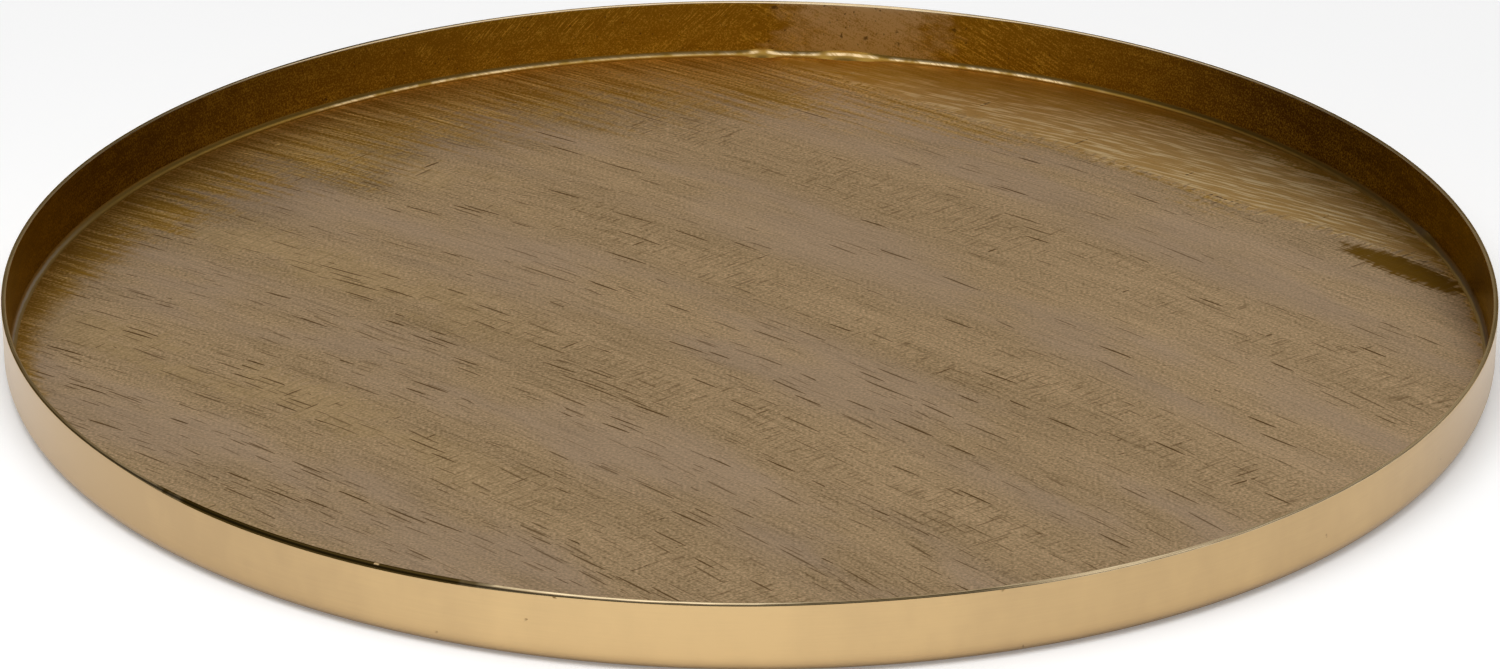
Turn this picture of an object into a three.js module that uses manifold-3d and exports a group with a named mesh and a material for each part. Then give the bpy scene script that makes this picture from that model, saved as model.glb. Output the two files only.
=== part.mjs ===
// Round serving tray, fabricated from brass sheet.
//
// A flat disc and a hoop rolled from strip meet corner to corner. Weld metal fills the open
// corner outside, a second run makes a bead inside it, and a short weld closes the hoop's butt
// seam at the back. The outside corner is then ground round and the top edges are eased.
//
// Millimetres, +Z up. The origin is the centre of the underside, and the seam is at the back, +Y.

import * as THREE from 'three';
import { mergeVertices } from 'three/addons/utils/BufferGeometryUtils.js';
import Module from 'manifold-3d';

// Driving dimensions

const trayDiameter = 400;
const trayHeight = 19;
const baseThickness = 1.5;
const rimThickness = 1.3;
const cornerGap = 1; // the disc's edge and the hoop's foot stay this far from the inside corner
const groundEdgeRadius = 4.5; // lower outside edge, ground after welding
const topEaseRadius = 0.45; // both edges of the rim's flat top
const seamAzimuth = 89; // degrees from +X
const seamGap = 2.4; // width of the butt weld across the hoop's ends
const beadLeg = 2.2; // reach of the inside bead up the wall and along the floor
const beadToeAngle = 9; // degrees, between the bead's hollow face and the wall or floor at its toes

// Places where the inside weld run was stopped and taken up again. The bead is fuller there by
// swell, and falls back to its normal size over about spread to each side.
const beadStops = [
  { azimuth: seamAzimuth, spread: 4, swell: 0.6 },
  { azimuth: 81.5, spread: 8, swell: 0.8 },
  { azimuth: 17, spread: 5, swell: 0.5 },
];

// Fineness of the facets

const ringSides = 160;
const arcSteps = 2; // an arc gets twice as many facets
const beadArcSteps = 3;

// Radii and angles that several pieces share

const wallOuter = trayDiameter / 2;
const wallInner = wallOuter - rimThickness;
const discRadius = wallInner - cornerGap;
const hoopFoot = baseThickness + cornerGap;
const clearFloorRadius = wallInner - 2 * beadLeg; // even the bead's fullest place stays outside this

// The ground edge is one arc that runs over disc, weld and hoop. Its centre lies at this radius,
// at the height of its own radius, and its angles are counted from level.
const edgeCentre = wallOuter - groundEdgeRadius;
const edgeAngleAtUnderside = -Math.PI / 2;
const edgeAngleAtDisc = -Math.acos((discRadius - edgeCentre) / groundEdgeRadius);
const edgeAngleAtHoop = -Math.asin((groundEdgeRadius - hoopFoot) / groundEdgeRadius);
const edgeAngleAtWall = 0;

// Adds a stretch of the ground edge to a section.
function followGroundEdge(section, fromAngle, toAngle) {
  return section.absarc(edgeCentre, groundEdgeRadius, groundEdgeRadius, fromAngle, toAngle, false);
}

// Sections: half outlines, radius across and height up, drawn anticlockwise. A closed one starts
// with its arc, and what follows is joined on by straight lines.

function discSection() {
  const section = new THREE.Path();
  section.moveTo(0, 0);
  section.lineTo(edgeCentre, 0);
  followGroundEdge(section, edgeAngleAtUnderside, edgeAngleAtDisc);
  section.lineTo(discRadius, baseThickness);
  section.lineTo(clearFloorRadius, baseThickness);
  section.lineTo(0, baseThickness);
  return section.getPoints(arcSteps);
}

function hoopSection() {
  const easeHeight = trayHeight - topEaseRadius;
  const section = new THREE.Path();
  followGroundEdge(section, edgeAngleAtHoop, edgeAngleAtWall);
  section.absarc(wallOuter - topEaseRadius, easeHeight, topEaseRadius, 0, Math.PI / 2, false);
  section.absarc(wallInner + topEaseRadius, easeHeight, topEaseRadius, Math.PI / 2, Math.PI, false);
  section.lineTo(wallInner, hoopFoot);
  section.closePath();
  return section.getPoints(arcSteps);
}

function outerWeldSection() {
  const section = new THREE.Path();
  followGroundEdge(section, edgeAngleAtDisc, edgeAngleAtHoop);
  section.lineTo(wallInner, hoopFoot);
  section.lineTo(discRadius, baseThickness);
  section.closePath();
  return section.getPoints(arcSteps);
}

// The bead's face is a hollow arc from its toe on the wall to its toe on the floor. The arc's
// centre lies on the line that halves the corner. The bead's back lies on the outside weld.
function beadSection(leg) {
  const halfAngle = Math.PI / 4 - THREE.MathUtils.degToRad(beadToeAngle);
  const chordHalf = leg / Math.SQRT2;
  const hollowRadius = chordHalf / Math.sin(halfAngle);
  const centreOffset = (chordHalf + hollowRadius * Math.cos(halfAngle)) / Math.SQRT2;
  const towardsCorner = -Math.PI / 4;
  const section = new THREE.Path();
  section.absarc(
    wallInner - centreOffset,
    baseThickness + centreOffset,
    hollowRadius,
    towardsCorner + halfAngle,
    towardsCorner - halfAngle,
    true,
  );
  section.lineTo(discRadius, baseThickness);
  section.lineTo(wallInner, hoopFoot);
  section.closePath();
  return section.getPoints(beadArcSteps);
}

// Turns a section about the tray's axis, and leaves only shared vertices.
function turned(section) {
  const ring = new THREE.LatheGeometry(section, ringSides);
  ring.rotateX(Math.PI / 2);
  ring.deleteAttribute('normal');
  ring.deleteAttribute('uv');
  return mergeVertices(ring);
}

// The bead's reach at an azimuth in radians, with the fuller places where its run was stopped.
function beadLegAt(azimuth) {
  let leg = beadLeg;
  for (const stop of beadStops) {
    const turn = azimuth - THREE.MathUtils.degToRad(stop.azimuth);
    const along = Math.atan2(Math.sin(turn), Math.cos(turn)) * wallInner;
    leg += stop.swell * Math.exp(-((along / stop.spread) ** 2));
  }
  return leg;
}

// A ring whose section changes on its way round. Its sections stand at the corners of a turned
// ring. A section ends on the point that it starts with, so its last point is left out.
function lofted(sectionAt) {
  const places = [];
  const faces = [];
  for (let i = 0; i < ringSides; i += 1) {
    const azimuth = (2 * Math.PI * i) / ringSides - Math.PI / 2;
    const section = sectionAt(azimuth).slice(0, -1);
    const here = i * section.length;
    const there = ((i + 1) % ringSides) * section.length;
    section.forEach((point, j) => {
      const k = (j + 1) % section.length;
      places.push(point.x * Math.cos(azimuth), point.x * Math.sin(azimuth), point.y);
      faces.push(here + j, there + j, there + k, here + j, there + k, here + k);
    });
  }
  const ring = new THREE.BufferGeometry();
  ring.setAttribute('position', new THREE.Float32BufferAttribute(places, 3));
  ring.setIndex(faces);
  return ring;
}

// Cuts between solids

const wasm = await Module();
wasm.setup();

function toSolid(geometry) {
  const mesh = new wasm.Mesh({
    numProp: 3,
    vertProperties: new Float32Array(geometry.getAttribute('position').array),
    triVerts: new Uint32Array(geometry.getIndex().array),
  });
  return new wasm.Manifold(mesh);
}

function toGeometry(solid) {
  const mesh = solid.getMesh();
  const geometry = new THREE.BufferGeometry();
  geometry.setAttribute('position', new THREE.BufferAttribute(mesh.vertProperties, 3));
  geometry.setIndex(new THREE.BufferAttribute(mesh.triVerts, 1));
  return geometry;
}

// A block as wide as the butt gap that reaches past the hoop on every other side.
function seamBlock() {
  const block = new THREE.BoxGeometry(rimThickness * 2, seamGap, trayHeight * 2);
  block.translate(wallOuter - rimThickness / 2, 0, trayHeight / 2);
  block.rotateZ(THREE.MathUtils.degToRad(seamAzimuth));
  block.deleteAttribute('normal');
  block.deleteAttribute('uv');
  return mergeVertices(block);
}

// Finishes

const brushedFloor = { color: '#8b7658', roughness: 0.42, metalness: 1 };
const satinRim = { color: '#d4b480', roughness: 0.34, metalness: 1 };
const dressedWeld = { color: '#c3a570', roughness: 0.38, metalness: 1 };

const tray = new THREE.Group();

function addPiece(name, geometry, finish) {
  geometry.computeVertexNormals();
  const piece = new THREE.Mesh(geometry, new THREE.MeshStandardMaterial(finish));
  piece.name = name;
  tray.add(piece);
}

// Pieces

const wholeHoop = toSolid(turned(hoopSection()));
const seam = toSolid(seamBlock());

addPiece('base_disc', turned(discSection()), brushedFloor);
addPiece('rim_band', toGeometry(wholeHoop.subtract(seam)), satinRim);
addPiece('rim_seam_weld', toGeometry(wholeHoop.intersect(seam)), satinRim);
addPiece('inner_corner_bead', lofted((azimuth) => beadSection(beadLegAt(azimuth))), dressedWeld);
addPiece('outer_corner_weld', turned(outerWeldSection()), satinRim);

export default tray;
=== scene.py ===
import math
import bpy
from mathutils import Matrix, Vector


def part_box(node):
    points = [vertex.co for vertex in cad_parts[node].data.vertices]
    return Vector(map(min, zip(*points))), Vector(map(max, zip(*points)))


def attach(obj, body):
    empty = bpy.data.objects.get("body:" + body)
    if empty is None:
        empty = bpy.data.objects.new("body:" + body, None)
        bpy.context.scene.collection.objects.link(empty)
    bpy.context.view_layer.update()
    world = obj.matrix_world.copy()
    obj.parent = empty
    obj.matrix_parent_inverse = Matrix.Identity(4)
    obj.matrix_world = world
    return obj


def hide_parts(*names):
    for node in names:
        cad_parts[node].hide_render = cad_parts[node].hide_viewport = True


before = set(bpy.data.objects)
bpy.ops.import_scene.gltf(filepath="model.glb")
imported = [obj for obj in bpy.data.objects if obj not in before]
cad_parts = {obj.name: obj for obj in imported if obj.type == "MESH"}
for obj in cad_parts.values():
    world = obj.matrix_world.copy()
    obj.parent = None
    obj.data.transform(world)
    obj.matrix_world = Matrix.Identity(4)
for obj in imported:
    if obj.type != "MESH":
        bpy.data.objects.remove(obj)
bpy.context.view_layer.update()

from types import SimpleNamespace

import bpy
from mathutils import Euler, Matrix, noise

# Base disc: a flat round plate of brass sheet, the floor of the tray and the face it stands on.
# Its face is toned brown and brushed by hand in long swings of the arm, lane beside lane, with
# crossing strokes over the seams of the lanes. It is welded to the hoop all round its edge.

MM = 0.001
disc_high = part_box("base_disc")[1]
hoop_low, hoop_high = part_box("rim_band")
RIM_THICKNESS = 1.3 * MM
GROUND_EDGE_RADIUS = 4.5 * MM
WALL_OUTER = hoop_high.x
WALL_INNER = WALL_OUTER - RIM_THICKNESS
RIM_TOP = hoop_high.z
HOOP_FOOT = hoop_low.z
DISC_RADIUS = disc_high.x
FLOOR_TOP = disc_high.z
EDGE_CENTRE = WALL_OUTER - GROUND_EDGE_RADIUS
EDGE_ANGLE_AT_UNDERSIDE = -math.pi / 2
EDGE_ANGLE_AT_DISC = -math.acos((DISC_RADIUS - EDGE_CENTRE) / GROUND_EDGE_RADIUS)
EDGE_ANGLE_AT_HOOP = -math.asin((GROUND_EDGE_RADIUS - HOOP_FOOT) / GROUND_EDGE_RADIUS)

# The tray is a little out of round and its top edge a little uneven: each wave is its count of
# crests round the tray, its height, and the azimuth of one crest in degrees.
OUT_OF_ROUND = [(2, 0.10 * MM, -53), (3, 0.20 * MM, 40), (4, 0.25 * MM, 43)]
UNEVEN_TOP = [(3, 0.10 * MM, 52), (4, 0.10 * MM, 12)]
FLOOR_DENT_DEPTH = 0.10 * MM
FLOOR_DENT_WIDTH = 55 * MM
UNEVEN_TOWARDS_WALL = 4
DISC_RINGS = 48
DISC_TURNS = 360
DISC_EDGE_STEPS = 6
SHARP_EDGE = math.radians(40)
FACE, EDGE = range(2)


def waves(azimuth, crests):
    """Height at an azimuth of a sum of waves round the tray."""
    return sum(
        height * math.cos(count * (azimuth - math.radians(crest)))
        for count, height, crest in crests
    )


def hand_made(radius, azimuth, height):
    """Point of the tray as it was really made, for a point of the true, round one."""
    outward = min(radius / DISC_RADIUS, 1.0) ** UNEVEN_TOWARDS_WALL
    upward = max(height - FLOOR_TOP, 0.0) / (RIM_TOP - FLOOR_TOP)
    lowest = sum(wave[1] for wave in UNEVEN_TOP)
    radius += outward * waves(azimuth, OUT_OF_ROUND)
    height += upward * (waves(azimuth, UNEVEN_TOP) - lowest)
    return radius * math.cos(azimuth), radius * math.sin(azimuth), height


def dished(radius, azimuth, height):
    """The disc's points: hand made, and with a face that is not quite flat."""
    x, y, z = hand_made(radius, azimuth, height)
    on_upper_face = height > FLOOR_TOP / 2
    if on_upper_face:
        inside = min((DISC_RADIUS - radius) / FLOOR_DENT_WIDTH, 1.0)
        dent = noise.noise((x / FLOOR_DENT_WIDTH, y / FLOOR_DENT_WIDTH, 0.0))
        z += FLOOR_DENT_DEPTH * inside * dent
    return x, y, z


def arc(centre_radius, centre_height, width, height, start, end, steps):
    """Points of an arc in a section, as radius and height, from one angle to another. The arc is
    round where its width and height, from its centre, are the same."""
    angles = [start + (end - start) * i / steps for i in range(steps + 1)]
    return [
        (centre_radius + width * math.cos(a), centre_height + height * math.sin(a))
        for a in angles
    ]


def ground_edge(start, end, steps):
    """Stretch of the lower outside edge, which is ground round over disc, weld and hoop."""
    radius = GROUND_EDGE_RADIUS
    return arc(EDGE_CENTRE, radius, radius, radius, start, end, steps)


def full_turn(steps):
    return [2 * math.pi * i / steps for i in range(steps)]


def disc_mesh():
    """The plate: rings of points on its two faces, joined by its share of the ground edge."""
    face_radii = [DISC_RADIUS * i / DISC_RINGS for i in range(1, DISC_RINGS)]
    underside = [(r, 0.0) for r in face_radii if r < EDGE_CENTRE]
    edge = ground_edge(EDGE_ANGLE_AT_UNDERSIDE, EDGE_ANGLE_AT_DISC, DISC_EDGE_STEPS)
    upper = [(r, FLOOR_TOP) for r in reversed(face_radii)]
    section = underside + edge + [(DISC_RADIUS, FLOOR_TOP)] + upper
    verts = [dished(r, a, h) for a in full_turn(DISC_TURNS) for r, h in section]
    count = len(section)
    first_upper = count - len(upper) - 1
    centre_low = len(verts)
    centre_high = centre_low + 1
    verts += [(0.0, 0.0, 0.0), dished(0.0, 0.0, FLOOR_TOP)]
    faces = []
    sides = []
    for i in range(DISC_TURNS):
        here = i * count
        there = (i + 1) % DISC_TURNS * count
        for j in range(count - 1):
            faces.append((here + j, there + j, there + j + 1, here + j + 1))
            sides.append(FACE if j >= first_upper else EDGE)
        faces.append((centre_low, there, here))
        faces.append((centre_high, here + count - 1, there + count - 1))
        sides += [EDGE, FACE]
    mesh = bpy.data.meshes.new("base_disc_brushed")
    mesh.from_pydata(verts, [], faces)
    mesh.polygons.foreach_set("material_index", sides)
    return mesh


def add_piece(mesh, node, finishes):
    """Puts a mesh in the scene in place of the solid that it stands for."""
    piece = bpy.data.objects.new(mesh.name, mesh)
    bpy.context.scene.collection.objects.link(piece)
    for finish in finishes:
        mesh.materials.append(finish)
    mesh.shade_smooth()
    mesh.set_sharp_from_angle(angle=SHARP_EDGE)
    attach(piece, "root")
    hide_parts(node)


class Field:
    """A value that varies over a surface. Sums and products of fields add the shader nodes for them."""

    def __init__(self, socket):
        self.socket = socket

    def __add__(self, other):
        return maths("ADD", self, other)

    def __sub__(self, other):
        return maths("SUBTRACT", self, other)

    def __rsub__(self, other):
        return maths("SUBTRACT", other, self)

    def __mul__(self, other):
        return maths("MULTIPLY", self, other)

    def __truediv__(self, other):
        return maths("DIVIDE", self, other)

    __radd__ = __add__
    __rmul__ = __mul__


def tree_of(values):
    return next(value.socket.id_data for value in values if isinstance(value, Field))


def plug(socket, value):
    """Links a field to a node's socket, or sets a constant on it."""
    if isinstance(value, Field):
        socket.id_data.links.new(value.socket, socket)
    else:
        socket.default_value = value


def maths(operation, *values):
    node = tree_of(values).nodes.new("ShaderNodeMath")
    node.operation = operation
    for socket, value in zip(node.inputs, values):
        plug(socket, value)
    return Field(node.outputs[0])


def ramp(value, low, high, to_low=0.0, to_high=1.0):
    """Takes a value smoothly from one range to another, and holds it beyond the ends."""
    given = (value, low, high, to_low, to_high)
    node = tree_of(given).nodes.new("ShaderNodeMapRange")
    node.interpolation_type = "SMOOTHSTEP"
    for socket, number in zip(node.inputs, given):
        plug(socket, number)
    return Field(node.outputs["Result"])


def within(value, low, high, fade):
    """1 between two limits, 0 beyond them, and a fade at both."""
    return ramp(value, low - fade, low) * ramp(value, high + fade, high)


def strongest(first, *others):
    """The highest of several fields at each place."""
    for other in others:
        first = maths("MAXIMUM", first, other)
    return first


def distance(x, y):
    return maths("SQRT", x * x + y * y)


def tint(base, colour, amount):
    """Lays a colour over a base colour by an amount."""
    node = tree_of((base, colour, amount)).nodes.new("ShaderNodeMix")
    node.data_type = "RGBA"
    factor, first, second = node.inputs[0], node.inputs[6], node.inputs[7]
    for socket, value in ((factor, amount), (first, base), (second, colour)):
        plug(socket, value)
    return Field(node.outputs[2])


def vector(x, y, z):
    node = tree_of((x, y, z)).nodes.new("ShaderNodeCombineXYZ")
    for socket, value in zip(node.inputs, (x, y, z)):
        plug(socket, value)
    return Field(node.outputs[0])


def mottle(x, y, z, detail=2.0):
    """A random value about 0.5 that changes over about one unit of each coordinate."""
    node = tree_of((x, y, z)).nodes.new("ShaderNodeTexNoise")
    plug(node.inputs["Vector"], vector(x, y, z))
    node.inputs["Scale"].default_value = 1.0
    node.inputs["Detail"].default_value = detail
    return Field(node.outputs["Fac"])


def chances(x, y, z):
    """Three random values from 0 to 1, the same all over a cell of whole coordinates."""
    node = tree_of((x, y, z)).nodes.new("ShaderNodeTexWhiteNoise")
    node.noise_dimensions = "3D"
    plug(node.inputs["Vector"], vector(x, y, z))
    colour = node.id_data.nodes.new("ShaderNodeSeparateColor")
    plug(colour.inputs[0], Field(node.outputs["Color"]))
    return [Field(socket) for socket in colour.outputs]


def contrast(marks, strength):
    """Random marks as a value about 0 instead of 0.5, made stronger or weaker."""
    return (marks - 0.5) * strength


def part_way(limits, part):
    """A value part of the way from one limit to the other."""
    return limits[0] + (limits[1] - limits[0]) * part


# Single scratches differ. Some rows of their grid hold more of them than others. A scratch's half length
# is a share of the longest, its shift within a row a share of the row's width, and its slant a slope.
ROW_DRAW = 0.5
ROW_SHARE = (0.3, 1.7)
ROW_STAGGER = 9.0
ROW_SHIFT = 0.5
SCRATCH_HALF_LENGTH = (0.2, 0.5)
SCRATCH_SHIFT = 0.15
SCRATCH_SLANT = 0.10
SCRATCH_STRENGTH = (0.55, 1.0)
SCRATCH_SOFT_EDGE = (1.0, 0.6)
THINNEST = 0.01
TINY = 0.0001


def dashes(along, across, spacing, longest, widest, share, seed):
    """Single strokes that went deeper: up to 1 in a stroke, 0 beside it. At most one lies in each cell
    of a staggered grid of the spacing, and only a share of the cells has one."""
    row = maths("FLOOR", across / spacing[1])
    stagger, row_shift, row_share = chances(row, seed, ROW_DRAW)
    run = along / spacing[0] + stagger * ROW_STAGGER
    column = maths("FLOOR", run)
    draw, shift, slant = chances(column, row, seed)
    kept_below = maths("MAXIMUM", share * part_way(ROW_SHARE, row_share), TINY)
    length = maths("MINIMUM", draw / kept_below, 1.0)
    forward = (run - column - 0.5) * spacing[0]
    aside = across / spacing[1] - row - 0.5
    aside = aside + contrast(row_shift, ROW_SHIFT) + contrast(shift, SCRATCH_SHIFT)
    aside = aside * spacing[1] + forward * contrast(slant, SCRATCH_SLANT)
    reach = maths("ABSOLUTE", forward) / (longest * part_way(SCRATCH_HALF_LENGTH, length))
    taper = maths("SQRT", maths("MAXIMUM", 1.0 - reach * reach, 0.0))
    half_width = maths("MAXIMUM", taper * (widest / 2), THINNEST * widest)
    stroke = ramp(maths("ABSOLUTE", aside) / half_width, *SCRATCH_SOFT_EDGE)
    return stroke * maths("LESS_THAN", draw, kept_below) * part_way(SCRATCH_STRENGTH, slant)


# A pit's edge fades between these shares of its cell, and is ragged by marks of this share of it.
PIT_EDGE = (0.30, 0.12)
PIT_RAGGED = 0.6


def pits(x, y, z, size, share):
    """Small ragged pits: 1 in a pit, 0 beside it. Only a share of them is kept."""
    cells = tree_of((x, y, z)).nodes.new("ShaderNodeTexVoronoi")
    cells.inputs["Scale"].default_value = 1.0 / size
    ragged = PIT_RAGGED * size
    warp = contrast(mottle(x / ragged, y / ragged, z / ragged), size)
    plug(cells.inputs["Vector"], vector(x + warp, y - warp, z + warp))
    picked = cells.id_data.nodes.new("ShaderNodeSeparateColor")
    plug(picked.inputs[0], Field(cells.outputs["Color"]))
    spot = ramp(Field(cells.outputs["Distance"]), *PIT_EDGE)
    return spot * maths("LESS_THAN", Field(picked.outputs[0]), share)


def new_finish(name):
    """A new metal finish with its shader, and the place on the tray in metres as x, y and z."""
    finish = bpy.data.materials.new(name)
    finish.use_nodes = True
    tree = finish.node_tree
    shader = tree.nodes["Principled BSDF"]
    shader.inputs["Metallic"].default_value = 1.0
    coordinates = tree.nodes.new("ShaderNodeTexCoord")
    split = tree.nodes.new("ShaderNodeSeparateXYZ")
    plug(split.inputs[0], Field(coordinates.outputs["Object"]))
    return finish, shader, [Field(socket) for socket in split.outputs]


def scratch_depth(shader, height, depth):
    """Lets a height from 0 to 1 turn the surface's normal, as scratches of that depth do."""
    bump = shader.id_data.nodes.new("ShaderNodeBump")
    bump.inputs["Distance"].default_value = depth
    bump.inputs["Strength"].default_value = 1.0
    plug(bump.inputs["Height"], height)
    plug(shader.inputs["Normal"], Field(bump.outputs[0]))


def strokes(along, across, size, seed, detail=2.0):
    """Marks of about a length and a width: a random value about 0.5."""
    return mottle(along / size[0], across / size[1], seed, detail)


def turned_by(along, across, angle):
    """The same place, along and across strokes that lie at an angle to the first ones."""
    turned_along = along * math.cos(angle) - across * math.sin(angle)
    turned_across = across * math.cos(angle) + along * math.sin(angle)
    return turned_along, turned_across


# The brush swings about a point well outside the tray. Lanes lie side by side, one pitch apart, and
# the last lane, at the back right, was brushed at another slant and shows more of the bare brass, with
# painted sheen on its strokes.
# The first seam, the last lane and the most scratched lanes are measured from that point.
SWING_PIVOT = (-740 * MM, -820 * MM)
SWING_RADIUS = 1105 * MM
SWING_WAVERS = 5 * MM
LANE_PITCH = 69 * MM
LANE_WANDERS = 14 * MM
FIRST_SEAM = 990 * MM
LAST_LANE = 1259 * MM
LAST_LANE_FADE = 2 * MM
LAST_LANE_SCALLOPS = 12 * MM
LAST_LANE_ANGLE = math.radians(11)
CROSSING_ANGLE = math.radians(-5)
CROSSING_REACH = (13 * MM, 6 * MM)
CROSSING_RAGGED = 24 * MM

# The marks that all this leaves: the length and the width of one.
FELT = (0.8 * MM, 0.8 * MM)
HAIR = (28 * MM, 0.8 * MM)
RUNG = (6 * MM, 1.4 * MM)
HATCH = (9 * MM, 0.8 * MM)
STREAK = (45 * MM, 2.2 * MM)
LAST_LANE_STROKE = (13 * MM, 1.1 * MM)
PASS = (150 * MM, 16 * MM)
CLOUD = (70 * MM, 22 * MM)
CLUMP = (30 * MM, 17 * MM)
CROWD = (60 * MM, 14 * MM)
WAVER = (70 * MM, 70 * MM)
WANDER = (110 * MM, 90 * MM)

# How far the streaks, rungs and clouds carry the edge of a toned place to and fro.
STREAK_CARRIES = 90 * MM
RUNG_CARRIES = 40 * MM
CLOUD_CARRIES = 50 * MM

# Where a mark or a tone comes in, the stretch is given as its start and end, and then the values there
# if they aren't 0 and 1. One that fades at both ends is given as its ends and the length of the fade.
# The last lane narrows towards the right.
LAST_LANE_NARROWS = (125 * MM, 190 * MM, 0.0, 7 * MM)
CLUMP_EDGE = (0.40, 0.52)


def floor_marks(x, y):
    """The marks of the brush all over the floor, and where its lanes lie."""
    arm_x = x - SWING_PIVOT[0]
    arm_y = y - SWING_PIVOT[1]
    along = maths("ARCTAN2", arm_y, arm_x) * SWING_RADIUS
    across = distance(arm_x, arm_y) + contrast(strokes(x, y, WAVER, seed=1.0), SWING_WAVERS)
    cross_across, cross_along = turned_by(along, across, CROSSING_ANGLE)
    last_along, last_across = turned_by(along, across, LAST_LANE_ANGLE)
    rungs = strokes(cross_along, cross_across, RUNG, seed=7.0, detail=1.0)
    clouds = strokes(along, across, CLOUD, seed=11.0)
    streaks = strokes(along, across, STREAK, seed=14.0)

    wander = contrast(strokes(along, across, WANDER, seed=2.0), LANE_WANDERS)
    lanes = (across + wander - FIRST_SEAM) / LANE_PITCH
    from_seam = maths("PINGPONG", lanes, 0.5) * LANE_PITCH
    clumps = ramp(strokes(along, across, CLUMP, seed=3.0), *CLUMP_EDGE)
    crossed = ramp(from_seam + contrast(rungs, CROSSING_RAGGED), *CROSSING_REACH) * clumps
    scallops = contrast(rungs, LAST_LANE_SCALLOPS) - ramp(x, *LAST_LANE_NARROWS)
    last_lane = ramp(across + scallops, LAST_LANE - LAST_LANE_FADE, LAST_LANE + LAST_LANE_FADE)
    carried = contrast(streaks, STREAK_CARRIES) + contrast(rungs, RUNG_CARRIES)
    return SimpleNamespace(
        along=along,
        across=across,
        cross_along=cross_along,
        cross_across=cross_across,
        felt=strokes(x, y, FELT, seed=5.0),
        hair=strokes(along, across, HAIR, seed=6.0),
        rungs=rungs,
        clouds=clouds,
        streaks=streaks,
        passes=strokes(along, across, PASS, seed=10.0),
        last_strokes=strokes(last_along, last_across, LAST_LANE_STROKE, seed=8.0),
        from_seam=from_seam,
        crossed=crossed,
        last_lane=last_lane,
        carried=carried + contrast(clouds, CLOUD_CARRIES),
        from_wall=DISC_RADIUS - distance(x, y),
    )


# Tone: lighter at the right, darker in front, painted darker as shade at the back left near the wall, tan
# where strokes cross, most at the left, and greyer in the middle of the lanes.
FLOOR_DARK = (0.305, 0.203, 0.098, 1.0)
FLOOR_LIGHT = (0.94, 0.67, 0.40, 1.0)
FLOOR_TAN = (0.735, 0.515, 0.25, 1.0)
FLOOR_GREY = (0.62, 0.46, 0.35, 1.0)
FLOOR_TONE = 0.48
LIGHTER_AT_RIGHT = (70 * MM, 150 * MM, 0.0, 0.08)
DARKER_IN_FRONT = (-70 * MM, -140 * MM, 0.0, 0.04)
BACK = (40 * MM, 110 * MM)
LEFT_OF_BACK = (20 * MM, -60 * MM)
BACK_LEFT_SHADE = (62 * MM, 36 * MM, 0.0, 0.32)
BACK_LEFT_RAGGED = 60 * MM
TAN_TO_LEFT = (-30 * MM, -110 * MM, 0.04, 0.38)
GREY_FROM_SEAM = (9 * MM, 24 * MM)
GREY_CLOUDS = (0.36, 0.62, 0.0, 0.42)


def toned_floor(x, y, marks):
    """The floor's brown under its scratches."""
    ragged = contrast(marks.clouds, BACK_LEFT_RAGGED)
    # Painted shade at the back left, near the wall.
    back_left_shade = ramp(y, *BACK) * ramp(x, *LEFT_OF_BACK) * ramp(marks.from_wall + ragged, *BACK_LEFT_SHADE)
    tone = FLOOR_TONE + ramp(x, *LIGHTER_AT_RIGHT) - ramp(y, *DARKER_IN_FRONT) - back_left_shade
    tone = tone + contrast(marks.felt, strength=1.6) + contrast(marks.hair, strength=1.1)
    tone = tone + contrast(marks.passes, strength=0.4)
    tone = tone + contrast(marks.rungs, strength=0.6) * marks.crossed
    base = tint(FLOOR_DARK, FLOOR_LIGHT, tone)
    base = tint(base, FLOOR_TAN, marks.crossed * ramp(x, *TAN_TO_LEFT))
    grey = ramp(marks.from_seam, *GREY_FROM_SEAM) * ramp(marks.clouds, *GREY_CLOUDS)
    return tint(base, FLOOR_GREY, grey)


# Single scratches: the spacing of their grid along and across, the longest and the widest. They crowd
# in places, most in the lanes nearest to the brush's pivot. Finer ones hatch the crossings and lie
# along every stroke.
SCRATCH_BROWN = (0.125, 0.062, 0.016, 1.0)
DEEP_SCRATCH = ((19 * MM, 2.6 * MM), 17 * MM, 0.80 * MM)
SMALL_SCRATCH = ((13 * MM, 1.5 * MM), 12 * MM, 0.55 * MM)
CROSSING_SCRATCH = ((12 * MM, 2.2 * MM), 11 * MM, 0.80 * MM)
CROWDED = (0.40, 0.62, 0.05, 0.37)
NEAREST_LANES = (1150 * MM, 1040 * MM, 0.3, 1.0)
CROSSING_SHARE = 0.04
SMALL_STRENGTH = 0.7
HATCH_LINE = (0.54, 0.68)
HATCH_TO_RIGHT = (-120 * MM, -10 * MM, 0.25, 0.48)
HAIRLINE = (0.57, 0.72, 0.0, 0.45)


def floor_scratches(x, marks):
    """Every scratch on the floor: up to 1 in one, 0 beside it. The last lane has only crossing ones."""
    along, across = marks.along, marks.across
    cross_along, cross_across = marks.cross_along, marks.cross_across
    outside_last_lane = 1.0 - marks.last_lane
    crowd = ramp(strokes(along, across, CROWD, seed=12.0), *CROWDED)
    share = crowd * ramp(across, *NEAREST_LANES) * outside_last_lane
    deep = dashes(along, across, *DEEP_SCRATCH, share, seed=21.0)
    small = dashes(along, across, *SMALL_SCRATCH, share, seed=22.0)
    cross_share = marks.crossed * CROSSING_SHARE
    crossing = dashes(cross_along, cross_across, *CROSSING_SCRATCH, cross_share, seed=26.0)
    hatch = ramp(strokes(cross_along, cross_across, HATCH, seed=13.0, detail=1.0), *HATCH_LINE)
    hatch = hatch * marks.crossed * ramp(x, *HATCH_TO_RIGHT)
    fine = strongest(hatch, ramp(marks.hair, *HAIRLINE)) * outside_last_lane
    return strongest(deep, small * SMALL_STRENGTH, crossing, fine)
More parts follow.
